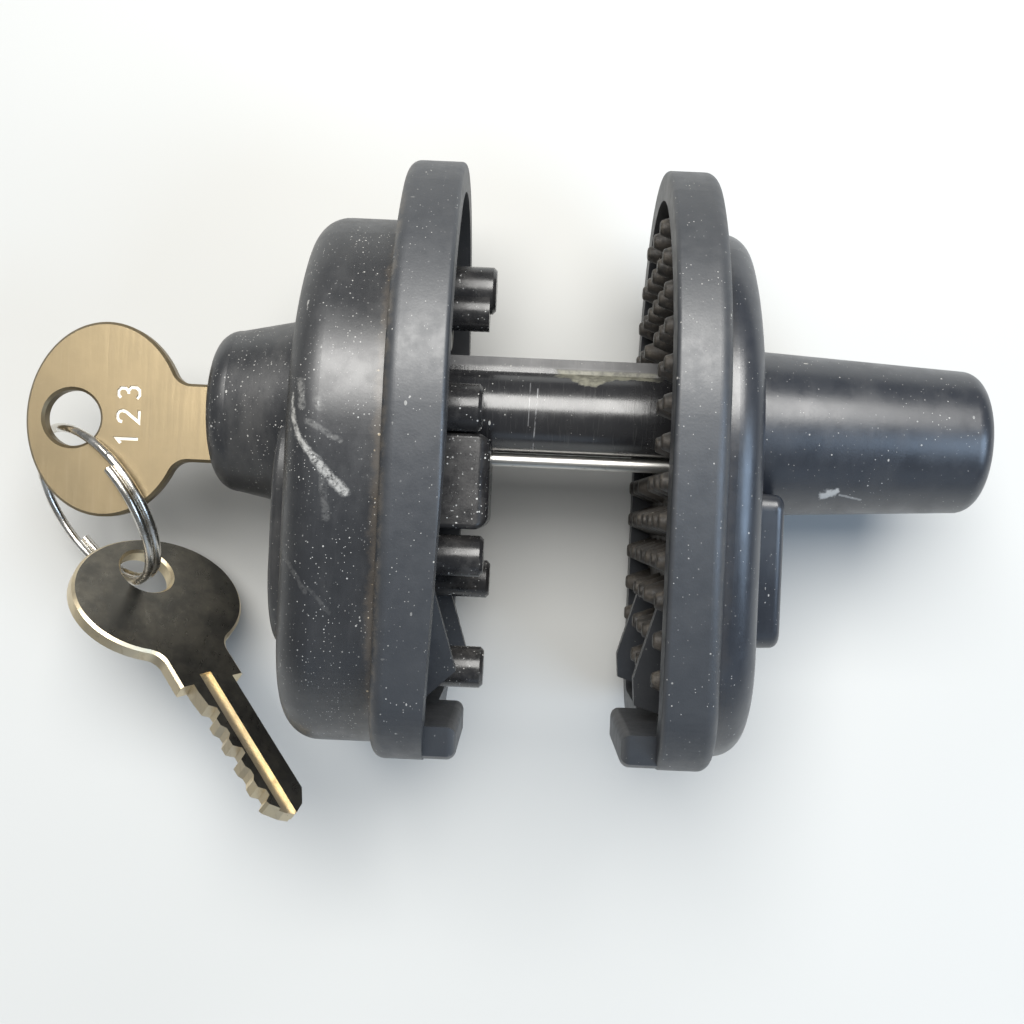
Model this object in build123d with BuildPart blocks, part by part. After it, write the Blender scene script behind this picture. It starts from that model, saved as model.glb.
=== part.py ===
from build123d import *
import math
import os

os.makedirs("parts", exist_ok=True)

# Two-piece keyed clamp lock, lying on its side.
# Frame: X runs along the lock axis, from the keyed half (-X) to the socket
# half (+X).  Y is across the long way of the pads, Z is up.  The origin is
# on the lock axis, in the plane of the keyed half's rubber rim.
# All lengths are in millimetres.

# ---------------------------------------------------------------- pads
PAD_TOP = 27.2          # rounded end of the outline, in Y
PAD_BOTTOM = -33.4      # blunt end of the outline, in Y
PAD_HALF = 20.5         # half of the outline's width, along Z
PAD_END_R = 15.5        # radius of the rounded end
PAD_FOOT_R = 6.5        # corner radius of the blunt end
PAD_FLANK_Y = 0.0       # where the straight flanks start to draw in
RIM_LEAN = 1.1          # how far the keyed rim leans back at its blunt end
RIM = 3.0               # width of the rubber rim
RIM_FACE = 0.0          # keyed rim plane
PAD_BACK = -5.9         # back of the keyed pad
GAP = 20.7              # keyed rim plane to socket rim plane, as drawn
SPAD_BACK = 25.95       # back of the socket pad
PLATE_IN = 1.0          # how far the plate reaches under the rim

# ---------------------------------------------------------------- keyed half
CASE_TOP, CASE_BOTTOM, CASE_HALF = 20.9, -33.0, 19.0
CASE_END_R, CASE_FOOT_R, CASE_FLANK_Y = 14.5, 11.0, -3.0
CASE_BACK = -15.3
CASE_EDGE = 3.5
CASE_FLOOR = -13.0      # inside face of the back wall
WALL = 2.5
BOSS_END = -25.4
BOSS_R_END, BOSS_R_ROOT, BOSS_ROUND = 8.6, 10.4, 2.3
PLATE_FACE = -3.2       # front of the keyed face plate
SCREW_AT = [(11.0, 9.5), (11.0, -9.5), (-22.0, 13.7), (-22.0, -13.7)]

# ---------------------------------------------------------------- cylinder
PLUG_R = 5.4
SHELL_BORE = 5.45
SHELL_R = 6.85
PLUG_FRONT, PLUG_BACK = -25.1, -6.0
KEY_Y = -1.5            # middle line of the keyway, below the plug's axis
KEY_T = 1.9             # key thickness
BLADE_H = 2.6           # half height of the blade
SHOULDER = -25.2        # end of the neck in X, key pushed home
BLADE_LEN = 17.8        # shoulder to tip
BOW_C = -37.7           # middle of the bow in X
KEY_HOLE_R = 3.0

# ---------------------------------------------------------------- post
POST_R, POST_Y = 4.4, 1.25
POST_BODY_END, POST_TIP = 39.6, 41.0
RIB_TOP, RIB_HALF, RIB_END = 6.88, 1.6, 30.0
SHAFT_R, SHAFT_BORE = 1.5, 1.55
PIN_E, PIN_R = 0.8, 0.45          # eccentric pin: throw and radius
PAWL_TRAVEL = 1.13
ROD_R, ROD_Y, ROD_END = 0.75, -3.95, 33.0

# ---------------------------------------------------------------- socket half
SCASE_BACK = 29.7
SBOSS_END = 55.25
SBOSS_R_END, SBOSS_R_ROOT = 7.6, 8.8
BORE_END = 53.4
BORE_R = 4.6
RACK_PITCH = 2.4
RACK_CREST, RACK_ROOT, RACK_BASE = -4.75, -5.65, -6.5
RACK_X0, RACK_X1 = 36.0, 52.6
STUD_TIP, MAT_FRONT, MAT_BACK = 20.1, 22.9, 23.7

# ---------------------------------------------------------------- key ring
RING_C = (-40.263, -10.854, -4.757)
RING_N = (0.5913, 0.5090, -0.6255)
RING_R = 9.544
RING_START, RING_LAP = 157.0, 181.0     # degrees: where the wire starts, and how far its turns overlap
WIRE_R = 0.48
WIRE_LIFT = 0.5
SPARE_O = (-34.114, -21.304, -8.506)
SPARE_X = (0.6072, -0.7079, 0.3607)
SPARE_N = (-0.5193, -0.6972, -0.4942)   # the numbered face looks down


def save(builder, name):
    builder.part.label = name
    export_step(builder.part, "parts/" + name + ".step")


PAD = (PAD_TOP, PAD_BOTTOM, PAD_HALF, PAD_END_R, PAD_FOOT_R, PAD_FLANK_Y)
CASE = (CASE_TOP, CASE_BOTTOM, CASE_HALF, CASE_END_R, CASE_FOOT_R, CASE_FLANK_Y)


def flank_arc(shape):
    # radius of the long arc that joins the rounded end to the straight flanks
    top, bottom, half, end_r, foot_r, flank_y = shape
    return ((top - end_r - flank_y) ** 2 + half ** 2 - end_r ** 2) / (2 * (half - end_r))


def outline(shape, inset=0.0):
    # closed outline in the sketch plane: rounded end, bowed shoulders,
    # straight flanks, blunt end with two rounded corners
    top, bottom, half, end_r, foot_r, flank_y = shape
    long_r = flank_arc(shape)
    cy, cz = top - end_r, half - long_r
    reach = math.hypot(cy - flank_y, cz)
    ny, nz = (cy - flank_y) / reach, -cz / reach
    er, lr, fr, h = end_r - inset, long_r - inset, foot_r - inset, half - inset
    join = (cy + er * ny, er * nz)
    a_mid = (math.atan2(nz, ny) + math.pi / 2) / 2
    mid = (flank_y + lr * math.cos(a_mid), cz + lr * math.sin(a_mid))
    foot = bottom + foot_r
    k = math.sqrt(0.5)
    arc, line = Edge.make_three_point_arc, Edge.make_line
    make_face([
        arc((join[0], -join[1]), (top - inset, 0), join),
        arc(join, mid, (flank_y, h)),
        line((flank_y, h), (foot, h)),
        arc((foot, h), (foot - fr * k, half - foot_r + fr * k), (bottom + inset, half - foot_r)),
        line((bottom + inset, half - foot_r), (bottom + inset, foot_r - half)),
        arc((bottom + inset, foot_r - half), (foot - fr * k, foot_r - half - fr * k), (foot, -h)),
        line((foot, -h), (flank_y, -h)),
        arc((flank_y, -h), (mid[0], -mid[1]), (join[0], -join[1])),
    ])


def half_width(shape, inset, y):
    # half width of the inset outline at a height y, clear of the blunt end
    top, bottom, half, end_r, foot_r, flank_y = shape
    long_r = flank_arc(shape)
    cy, cz = top - end_r, half - long_r
    ny = (cy - flank_y) / math.hypot(cy - flank_y, cz)
    if y >= cy + (end_r - inset) * ny:
        return math.sqrt(max((end_r - inset) ** 2 - (y - cy) ** 2, 0.0))
    if y > flank_y:
        return cz + math.sqrt((long_r - inset) ** 2 - (y - flank_y) ** 2)
    if y > bottom + foot_r:
        return half - inset
    return half - foot_r + math.sqrt(max((foot_r - inset) ** 2 - (y - bottom - foot_r) ** 2, 0.0))


# =====================================================================
# keyed casing: hollow die casting with the cylinder boss on its back
# =====================================================================
with BuildPart() as keyed_casing:
    with BuildSketch(Plane.YZ.offset(CASE_BACK)):
        outline(CASE)
    extrude(amount=PAD_BACK - CASE_BACK)
    fillet(keyed_casing.faces().sort_by(Axis.X)[0].edges(), CASE_EDGE)
    # shallow raised field below the boss
    with BuildSketch(Plane.YZ.offset(-14.8)):
        with Locations((-12.0, 0)):
            RectangleRounded(25.2, 25.6, 8.5)
    extrude(amount=-2.4, taper=6)
    fillet(keyed_casing.faces().sort_by(Axis.X)[0].edges(), 0.7)
    # boss for the cylinder
    with BuildSketch(Plane.XY):
        with BuildLine():
            Polyline((-14.5, 0), (BOSS_END, 0), (BOSS_END, BOSS_R_END - BOSS_ROUND))
            ThreePointArc(
                (BOSS_END, BOSS_R_END - BOSS_ROUND),
                (BOSS_END + BOSS_ROUND * (1 - math.sqrt(0.5)),
                 BOSS_R_END - BOSS_ROUND * (1 - math.sqrt(0.5))),
                (BOSS_END + BOSS_ROUND, BOSS_R_END))
            Polyline((BOSS_END + BOSS_ROUND, BOSS_R_END), (-14.5, BOSS_R_ROOT), (-14.5, 0))
        make_face()
    revolve(axis=Axis.X)
    # hollow
    with BuildSketch(Plane.YZ.offset(CASE_FLOOR)):
        outline(CASE, WALL)
    extrude(amount=PAD_BACK - CASE_FLOOR, mode=Mode.SUBTRACT)
    # hub for the cylinder, with two ears for its screws
    with BuildSketch(Plane.YZ.offset(-14.0)):
        Circle(9.2)
        SlotOverall(24.0, 6.4, rotation=90)
    extrude(amount=5.0)
    # pillars for the plate screws
    with BuildSketch(Plane.YZ.offset(CASE_FLOOR - 0.5)):
        with Locations(*SCREW_AT):
            Circle(3.2)
    extrude(amount=PAD_BACK - CASE_FLOOR + 0.5)
    with BuildSketch(Plane.YZ.offset(-12.8)):
        with Locations(*SCREW_AT):
            Circle(1.25)
    extrude(amount=PAD_BACK + 12.8, mode=Mode.SUBTRACT)
    with BuildSketch(Plane.YZ.offset(-13.4)):
        with Locations((0, 9.2), (0, -9.2)):
            Circle(0.95)
    extrude(amount=4.4, mode=Mode.SUBTRACT)
    # cylinder bore and the lip at its front
    with BuildSketch(Plane.YZ.offset(-23.9)):
        Circle(SHELL_R + 0.03)
    extrude(amount=14.9, mode=Mode.SUBTRACT)
    with BuildSketch(Plane.YZ.offset(BOSS_END)):
        Circle(6.0)
    extrude(amount=1.5, mode=Mode.SUBTRACT)
save(keyed_casing, "keyed_casing")

# =====================================================================
# keyed pad: rubber rim, with the block and its two webs at the lower end
# =====================================================================
with BuildPart() as keyed_pad:
    with BuildSketch(Plane.YZ.offset(PAD_BACK)):
        outline(PAD)
    extrude(amount=RIM_FACE - PAD_BACK)
    fillet(keyed_pad.faces().sort_by(Axis.X)[0].edges(), 1.3)
    fillet(keyed_pad.faces().sort_by(Axis.X)[-1].edges(), 0.5)
    with BuildSketch(Plane.YZ.offset(PAD_BACK)):
        outline(PAD, RIM)
    extrude(amount=RIM_FACE - PAD_BACK, mode=Mode.SUBTRACT)
    with BuildSketch(Plane.YZ.offset(PAD_BACK)):
        outline(PAD, RIM - PLATE_IN)
    extrude(amount=PLATE_FACE - PAD_BACK, mode=Mode.SUBTRACT)
    # the rim face leans back toward the blunt end
    with BuildSketch(Plane.XY.offset(-PAD_HALF - 1)):
        Polygon((1.0, -3.0), (0.0, -3.0), (-RIM_LEAN, PAD_BOTTOM - 1), (1.0, PAD_BOTTOM - 1), align=None)
    extrude(amount=2 * PAD_HALF + 2, mode=Mode.SUBTRACT)
    # block, on the upper half of the blunt end
    with BuildSketch(Plane.YZ.offset(PLATE_FACE)):
        outline(PAD, 0.12)
        with Locations((-33.4, 9.2)):
            Rectangle(7.2, 15.6, mode=Mode.INTERSECT)
    extrude(amount=2.0 - PLATE_FACE)
    fillet(keyed_pad.faces().sort_by(Axis.X)[-1].edges(), 0.9)
    # webs, each rooted in the rim
    for z in (9.3, -10.8):
        with BuildSketch(Plane.XY.offset(z)):
            Polygon((PLATE_FACE, -16.6), (-1.2, -17.2), (1.4, -25.4), (-2.0, -28.6),
                    (-2.0, -31.2), (PLATE_FACE, -31.2), align=None)
        extrude(amount=1.5)
save(keyed_pad, "keyed_pad")

# =====================================================================
# keyed face plate
# =====================================================================
with BuildPart() as keyed_face_plate:
    with BuildSketch(Plane.YZ.offset(PAD_BACK)):
        outline(PAD, RIM - PLATE_IN)
        with Locations((0.6, 0)):
            Circle(3.1, mode=Mode.SUBTRACT)
        with Locations(*SCREW_AT):
            Circle(1.6, mode=Mode.SUBTRACT)
    extrude(amount=PLATE_FACE - PAD_BACK)
save(keyed_face_plate, "keyed_face_plate")

# four pan head screws, plate to casing
with BuildPart() as keyed_plate_screws:
    with BuildSketch(Plane.YZ.offset(-12.5)):
        with Locations(*SCREW_AT):
            Circle(1.22)
    extrude(amount=PLATE_FACE + 12.5)
    with BuildSketch(Plane.YZ.offset(PLATE_FACE)):
        with Locations(*SCREW_AT):
            Circle(2.5)
    extrude(amount=1.5)
    fillet(keyed_plate_screws.faces().filter_by(Axis.X).group_by(Axis.X)[-1].edges(), 0.7)
    with BuildSketch(Plane.YZ.offset(PLATE_FACE + 0.7)):
        with Locations(*SCREW_AT):
            Rectangle(2.6, 0.6)
            Rectangle(0.6, 2.6)
    extrude(amount=1.5, mode=Mode.SUBTRACT)
save(keyed_plate_screws, "keyed_plate_screws")

# =====================================================================
# guard pegs: the moulded pegs that stand round the post
# =====================================================================
PEGS = [  # y, z, radius, tip x
    (0.78, 8.0, 2.42, 2.85),
    (3.2, -8.6, 2.42, 2.85),
    (-14.2, 6.2, 2.1, 3.5),
    (-17.2, -6.0, 2.1, 3.9),
    (-26.35, 0.0, 2.2, 3.8),
]
with BuildPart() as guard_pegs:
    for (y, z, r, tip) in PEGS:
        with BuildSketch(Plane.YZ.offset(PLATE_FACE)):
            with Locations((y, z)):
                Circle(r)
        extrude(amount=tip - PLATE_FACE)
    with BuildSketch(Plane.YZ.offset(PLATE_FACE)):
        with Locations((14.1, 0)):
            Circle(2.5)
    extrude(amount=3.5 - PLATE_FACE)
    with BuildSketch(Plane.YZ.offset(PLATE_FACE)):
        with Locations((11.7, 0.6)):
            Circle(2.1)
    extrude(amount=2.9 - PLATE_FACE)
    tips = guard_pegs.edges().filter_by(GeomType.CIRCLE).filter_by(
        lambda e: e.center().X > 2.5 and e.length > 9)
    chamfer(tips, 0.35)
save(guard_pegs, "guard_pegs")

# =====================================================================
# post support block: cradles the root of the post, holds the guide rod
# =====================================================================
with BuildPart() as post_support_block:
    with BuildSketch(Plane.YZ.offset(PLATE_FACE)):
        with Locations((-6.6, 2.0)):
            RectangleRounded(9.7, 12.0, 0.5)
    extrude(amount=3.8 - PLATE_FACE)
    lower = post_support_block.edges().filter_by(Axis.Z).filter_by(
        lambda e: e.center().X > 3.0 and e.center().Y < -10)
    fillet(lower, 1.4) if len(lower) else None
    with BuildSketch(Plane.YZ.offset(PLATE_FACE)):
        with Locations((POST_Y, 0)):
            Circle(POST_R + 0.02)
        with Locations((ROD_Y, 0)):
            Circle(ROD_R + 0.02)
    extrude(amount=8.0, mode=Mode.SUBTRACT)
save(post_support_block, "post_support_block")

# =====================================================================
# locking post: hollow round post with a flat-topped rib
# =====================================================================
with BuildPart() as locking_post:
    with BuildSketch(Plane.YZ.offset(PLATE_FACE)):
        with Locations((POST_Y, 0)):
            Circle(POST_R)
    extrude(amount=POST_BODY_END - PLATE_FACE)
    with BuildSketch(Plane.YZ.offset(PLATE_FACE)):
        with Locations(((RIB_TOP + 3.0) / 2, 0)):
            Rectangle(RIB_TOP - 3.0, 2 * RIB_HALF)
    extrude(amount=RIB_END - PLATE_FACE)
    chamfer(locking_post.edges().filter_by(Axis.Z).filter_by(
        lambda e: e.center().X > RIB_END - 0.1 and e.center().Y > RIB_TOP - 0.1), 1.2)
    # spigot through the plate
    with BuildSketch(Plane.YZ.offset(PAD_BACK)):
        with Locations((0.6, 0)):
            Circle(3.08)
    extrude(amount=PLATE_FACE - PAD_BACK)
    # bore for the release shaft
    with BuildSketch(Plane.YZ.offset(PAD_BACK)):
        Circle(SHAFT_BORE)
    extrude(amount=60, mode=Mode.SUBTRACT)
    # slot for the latch pawl, open at the end of the post
    with BuildSketch(Plane.YZ.offset(36.95)):
        with Locations((0, -1.4)):
            Rectangle(4.2, 9.2)
    extrude(amount=5.0, mode=Mode.SUBTRACT)
save(locking_post, "locking_post")

# cap that closes the end of the post
with BuildPart() as post_tip_cap:
    with BuildSketch(Plane.YZ.offset(POST_BODY_END)):
        with Locations((POST_Y, 0)):
            Circle(POST_R)
    extrude(amount=POST_TIP - POST_BODY_END)
    fillet(post_tip_cap.faces().sort_by(Axis.X)[-1].edges(), 0.8)
save(post_tip_cap, "post_tip_cap")

# steel guide rod beside the post
with BuildPart() as guide_rod:
    with BuildSketch(Plane.YZ.offset(PLATE_FACE)):
        with Locations((ROD_Y, 0)):
            Circle(ROD_R)
    extrude(amount=ROD_END - PLATE_FACE)
    fillet(guide_rod.faces().sort_by(Axis.X)[-1].edges(), 0.4)
save(guide_rod, "guide_rod")

# =====================================================================
# cylinder shell with its two-ear flange
# =====================================================================
with BuildPart() as cylinder_shell:
    with BuildSketch(Plane.YZ.offset(-23.85)):
        Circle(SHELL_R)
    extrude(amount=14.85)
    with BuildSketch(Plane.YZ.offset(-9.0)):
        Circle(8.6)
        SlotOverall(23.6, 5.6, rotation=90)
    extrude(amount=1.0)
    with BuildSketch(Plane.YZ.offset(-23.85)):
        Circle(SHELL_BORE)
    extrude(amount=18.0, mode=Mode.SUBTRACT)
    # side grooves that the wafers spring into
    with BuildSketch(Plane.YZ.offset(-22.7)):
        Rectangle(12.4, 4.6)
    extrude(amount=12.7, mode=Mode.SUBTRACT)
    with BuildSketch(Plane.YZ.offset(-10.0)):
        with Locations((0, 9.2), (0, -9.2)):
            Circle(1.1)
    extrude(amount=4.0, mode=Mode.SUBTRACT)
save(cylinder_shell, "cylinder_shell")

with BuildPart() as cylinder_screws:
    with BuildSketch(Plane.YZ.offset(-13.0)):
        with Locations((0, 9.2), (0, -9.2)):
            Circle(0.93)
    extrude(amount=5.0)
    with BuildSketch(Plane.YZ.offset(-8.0)):
        with Locations((0, 9.2), (0, -9.2)):
            Circle(1.9)
    extrude(amount=1.1)
    with BuildSketch(Plane.YZ.offset(-7.4)):
        with Locations((0, 9.2), (0, -9.2)):
            Rectangle(0.5, 5.0)
    extrude(amount=1.5, mode=Mode.SUBTRACT)
save(cylinder_screws, "cylinder_screws")

# =====================================================================
# plug: turns in the shell, holds the wafers and the key
# =====================================================================
WAFER_X = [-21.7 + 2.7 * i for i in range(5)]
WAFER_T = 0.6
with BuildPart() as plug:
    with BuildSketch(Plane.YZ.offset(PLUG_FRONT)):
        Circle(5.9)
    extrude(amount=1.2)
    with BuildSketch(Plane.YZ.offset(PLUG_FRONT)):
        Circle(PLUG_R)
    extrude(amount=PLUG_BACK - PLUG_FRONT)
    # clip groove
    with BuildSketch(Plane.YZ.offset(-7.9)):
        Circle(PLUG_R + 1)
        Circle(4.95, mode=Mode.SUBTRACT)
    extrude(amount=0.7, mode=Mode.SUBTRACT)
    # keyway
    with BuildSketch(Plane.YZ.offset(PLUG_FRONT - 0.5)):
        with Locations((KEY_Y, 0)):
            Rectangle(2 * BLADE_H + 0.2, KEY_T + 0.2)
    extrude(amount=-7.25 - PLUG_FRONT + 0.5, mode=Mode.SUBTRACT)
    # wafer slots
    for x in WAFER_X:
        with BuildSketch(Plane.YZ.offset(x - 0.02)):
            Rectangle(12.0, 4.2)
        extrude(amount=WAFER_T + 0.04, mode=Mode.SUBTRACT)
    # square hole for the shaft's tang
    with BuildSketch(Plane.YZ.offset(-7.3)):
        Rectangle(2.04, 2.04)
    extrude(amount=2.0, mode=Mode.SUBTRACT)
save(plug, "plug")

with BuildPart() as wafers:
    for x in WAFER_X:
        with BuildSketch(Plane.YZ.offset(x)):
            Circle(5.32)
            Rectangle(12.0, 4.1, mode=Mode.INTERSECT)
            with Locations((KEY_Y, 0)):
                Rectangle(2 * BLADE_H + 0.3, KEY_T + 0.3, mode=Mode.SUBTRACT)
        extrude(amount=WAFER_T)
save(wafers, "wafers")

with BuildPart() as plug_retaining_clip:
    with BuildSketch(Plane.YZ.offset(-7.87)):
        Circle(6.7)
        Circle(5.0, mode=Mode.SUBTRACT)
        with Locations((6.0, 0)):
            Rectangle(5.0, 4.0, mode=Mode.SUBTRACT)
    extrude(amount=0.6)
save(plug_retaining_clip, "plug_retaining_clip")

# release shaft: carries the plug's turn to the pin that moves the pawl
with BuildPart() as release_shaft:
    with BuildSketch(Plane.YZ.offset(-7.1)):
        Rectangle(2.0, 2.0)
    extrude(amount=1.1)
    with BuildSketch(Plane.YZ.offset(-6.0)):
        Circle(SHAFT_R)
    extrude(amount=43.0)
    with BuildSketch(Plane.YZ.offset(37.0)):
        with Locations((-PIN_E * math.sqrt(0.5), PIN_E * math.sqrt(0.5))):
            Circle(PIN_R)
    extrude(amount=2.35)
save(release_shaft, "release_shaft")

# latch pawl: slides across the end of the post, toward -Z to lock
with BuildPart() as latch_pawl:
    with BuildSketch(Plane.XZ.offset(-2.0)):
        Polygon((37.1, 2.4), (37.1, -4.35), (38.2, -4.35), (39.4, -3.3), (39.4, 2.4),
                align=None)
    extrude(amount=4.0)
    with BuildSketch(Plane.YZ.offset(36.0)):
        with Locations((POST_Y, 0)):
            Circle(POST_R - 0.03)
    extrude(amount=5.0, mode=Mode.INTERSECT)
    with BuildSketch(Plane.YZ.offset(36.0)):
        with Locations((-0.45, PIN_E * math.sqrt(0.5))):
            Rectangle(1.9, 2 * PIN_R + 0.16)
    extrude(amount=5.0, mode=Mode.SUBTRACT)
save(latch_pawl, "latch_pawl")


# =====================================================================
# keys
# =====================================================================
def key_profile():
    # outline of bow, neck and blade, tip toward local +X, bow centre at 0,0
    shoulder = SHOULDER - BOW_C
    tip = shoulder + BLADE_LEN
    cuts = [0.7, 0.3, 0.85, 0.45, 0.75]
    with BuildSketch(Plane.XY) as sk:
        Ellipse(8.45, 10.42)
        with Locations(((shoulder + 3.0) / 2, 0)):
            Rectangle(shoulder - 3.0, 8.34)
        inner = sk.vertices().filter_by(
            lambda v: 3.5 < v.X < shoulder - 0.6 and abs(abs(v.Y) - 4.17) < 0.05)
        if len(inner):
            fillet(inner, 2.0)
        with BuildLine():
            pts = [(shoulder - 0.5, -BLADE_H), (tip - 2.4, -BLADE_H), (tip - 0.7, -1.5),
                   (tip, -0.3), (tip - 0.6, 0.8), (tip - 1.9, BLADE_H - 0.4)]
            x = tip - 3.2
            for c in cuts:
                pts += [(x + 0.9, BLADE_H - 0.25), (x + 0.35, BLADE_H - c - 0.3),
                        (x - 0.35, BLADE_H - c - 0.3), (x - 0.9, BLADE_H - 0.25)]
                x -= 2.7
            pts += [(x - 0.2, BLADE_H), (shoulder - 0.5, BLADE_H)]
            Polyline(*pts, close=True)
        make_face()
        with Locations((-3.5, 0)):
            Circle(KEY_HOLE_R, mode=Mode.SUBTRACT)
    return sk.sketch


# strokes of the stamped figures, in millimetres from each figure's middle
FIGURES = [
    [[(-0.4, 0.7), (0.1, 1.15), (0.1, -1.15)]],
    [[(-0.6, 0.6), (-0.5, 0.95), (-0.2, 1.13), (0.2, 1.13), (0.5, 0.95), (0.6, 0.6),
      (0.45, 0.2), (-0.6, -1.15), (0.65, -1.15)]],
    [[(-0.55, 0.85), (-0.25, 1.12), (0.2, 1.12), (0.5, 0.85), (0.5, 0.4), (0.2, 0.1),
      (-0.1, 0.05)],
     [(0.2, 0.1), (0.6, -0.2), (0.6, -0.75), (0.3, -1.1), (-0.25, -1.12), (-0.6, -0.85)]],
]


def key_solid():
    shoulder = SHOULDER - BOW_C
    tip = shoulder + BLADE_LEN
    with BuildPart() as k:
        with BuildSketch(Plane.XY.offset(-KEY_T / 2)):
            add(key_profile())
        extrude(amount=KEY_T)
        rim = k.edges().filter_by(lambda e: abs(abs(e.center().Z) - KEY_T / 2) < 1e-3
                                  and e.center().X < shoulder - 0.3)
        chamfer(rim, 0.3)
        # long grooves of the blade, one on each face
        for z0, y0 in ((KEY_T / 2 - 0.45, -0.9), (-KEY_T / 2 - 0.55, 0.5)):
            with BuildSketch(Plane.XY.offset(z0)):
                with Locations(((shoulder + tip) / 2 + 0.2, y0)):
                    Rectangle(tip - shoulder + 2.6, 1.5)
            extrude(amount=1.0, mode=Mode.SUBTRACT)
        # stamped figures, read with the bow to the left of the reader's head
        for n, strokes in enumerate(FIGURES):
            for stroke in strokes:
                with BuildSketch(Plane.XY.offset(KEY_T / 2 - 0.16)):
                    with BuildLine():
                        Polyline(*[(2.5 - v, 0.4 + 2.5 * (n - 1) + u) for (u, v) in stroke])
                    trace(line_width=0.34)
                extrude(amount=0.5, mode=Mode.SUBTRACT)
    return k.part


key_body = key_solid()
with BuildPart() as key:
    add(key_body.moved(Location((BOW_C, KEY_Y, 0))))
save(key, "key")

spare_plane = Plane(origin=SPARE_O, x_dir=SPARE_X, z_dir=SPARE_N)
with BuildPart() as spare_key:
    add(key_body.moved(spare_plane.location))
save(spare_key, "spare_key")

# split ring: one and a half turns of round wire.  The two ends overlap by half
# a turn, and the single stretch between them climbs from one layer to the other
ring_plane = Plane(origin=RING_C, x_dir=(-0.62, -0.10, -0.735), z_dir=RING_N)


def on_ring(deg, lift):
    a = math.radians(deg)
    return (RING_R * math.cos(a), RING_R * math.sin(a), lift)


def along_ring(deg):
    a = math.radians(deg)
    return (-math.sin(a), math.cos(a), 0)


climb_0 = RING_START + RING_LAP
climb = 360.0 - RING_LAP
with BuildPart() as ring_wire:
    with BuildLine() as wire_path:
        CenterArc((0, 0, -WIRE_LIFT), RING_R, RING_START, RING_LAP)
        points = []
        for i in range(25):
            t = i / 24
            s = t * t * t * (10 - 15 * t + 6 * t * t)
            points.append(on_ring(climb_0 + climb * t, -WIRE_LIFT + 2 * WIRE_LIFT * s))
        Spline(*points, tangents=[along_ring(climb_0), along_ring(climb_0 + climb)])
        CenterArc((0, 0, WIRE_LIFT), RING_R, RING_START, RING_LAP)
    with BuildSketch(Plane(origin=wire_path.line @ 0, z_dir=wire_path.line % 0)):
        Circle(WIRE_R)
    sweep(path=wire_path.line)
with BuildPart() as key_ring:
    add(ring_wire.part.moved(ring_plane.location))
save(key_ring, "key_ring")

# =====================================================================
# socket casing: back shell with the closed boss
# =====================================================================
with BuildPart() as socket_casing:
    with BuildSketch(Plane.YZ.offset(SPAD_BACK)):
        outline(CASE)
    extrude(amount=SCASE_BACK - SPAD_BACK)
    fillet(socket_casing.faces().sort_by(Axis.X)[-1].edges(), 2.9)
    # oblong raised field below the boss
    with BuildSketch(Plane.YZ.offset(SCASE_BACK - 0.5)):
        with Locations((-14.3, 0)):
            RectangleRounded(15.6, 22.0, 1.8)
    extrude(amount=4.0, taper=3)
    fillet(socket_casing.faces().sort_by(Axis.X)[-1].edges(), 0.9)
    # hollow, leaving a core round the post bore
    with BuildSketch(Plane.YZ.offset(SPAD_BACK)):
        outline(CASE, WALL)
    extrude(amount=1.9, mode=Mode.SUBTRACT)
    with BuildSketch(Plane.XY):
        with BuildLine():
            Polyline((SPAD_BACK, 0), (SPAD_BACK, 8.6), (SCASE_BACK - 1.0, SBOSS_R_ROOT + 0.15),
                     (SBOSS_END - 2.0, SBOSS_R_END))
            ThreePointArc((SBOSS_END - 2.0, SBOSS_R_END),
                          (SBOSS_END - 2.0 * (1 - math.sqrt(0.5)),
                           SBOSS_R_END - 2.0 * (1 - math.sqrt(0.5))),
                          (SBOSS_END, SBOSS_R_END - 2.0))
            Polyline((SBOSS_END, SBOSS_R_END - 2.0), (SBOSS_END, 0), (SPAD_BACK, 0))
        make_face()
    revolve(axis=Axis.X)
    with BuildSketch(Plane.YZ.offset(SPAD_BACK)):
        with Locations(*SCREW_AT):
            Circle(3.2)
    extrude(amount=2.2)
    with BuildSketch(Plane.YZ.offset(SPAD_BACK)):
        with Locations(*SCREW_AT):
            Circle(1.25)
    extrude(amount=2.6, mode=Mode.SUBTRACT)
    # bore for the post, groove for the rod, notch for the rib, seat for the rack
    with BuildSketch(Plane.YZ.offset(SPAD_BACK)):
        with Locations((POST_Y, 0)):
            Circle(BORE_R)
    extrude(amount=BORE_END - SPAD_BACK, mode=Mode.SUBTRACT)
    with BuildSketch(Plane.YZ.offset(SPAD_BACK)):
        with Locations((ROD_Y, 0)):
            Circle(ROD_R + 0.2)
    extrude(amount=48.0 - SPAD_BACK, mode=Mode.SUBTRACT)
    with BuildSketch(Plane.YZ.offset(SPAD_BACK)):
        with Locations(((RIB_TOP + 0.2 + 3.0) / 2, 0)):
            Rectangle(RIB_TOP + 0.2 - 3.0, 2 * RIB_HALF + 0.4)
    extrude(amount=45.0 - SPAD_BACK, mode=Mode.SUBTRACT)
    with BuildSketch(Plane.YZ.offset(RACK_X0 - 0.02)):
        with Locations((0, (RACK_BASE - 0.02 - 2.0) / 2)):
            Rectangle(4.24, -(RACK_BASE - 0.02) - 2.0)
    extrude(amount=RACK_X1 - RACK_X0 + 0.04, mode=Mode.SUBTRACT)
save(socket_casing, "socket_casing")

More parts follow.
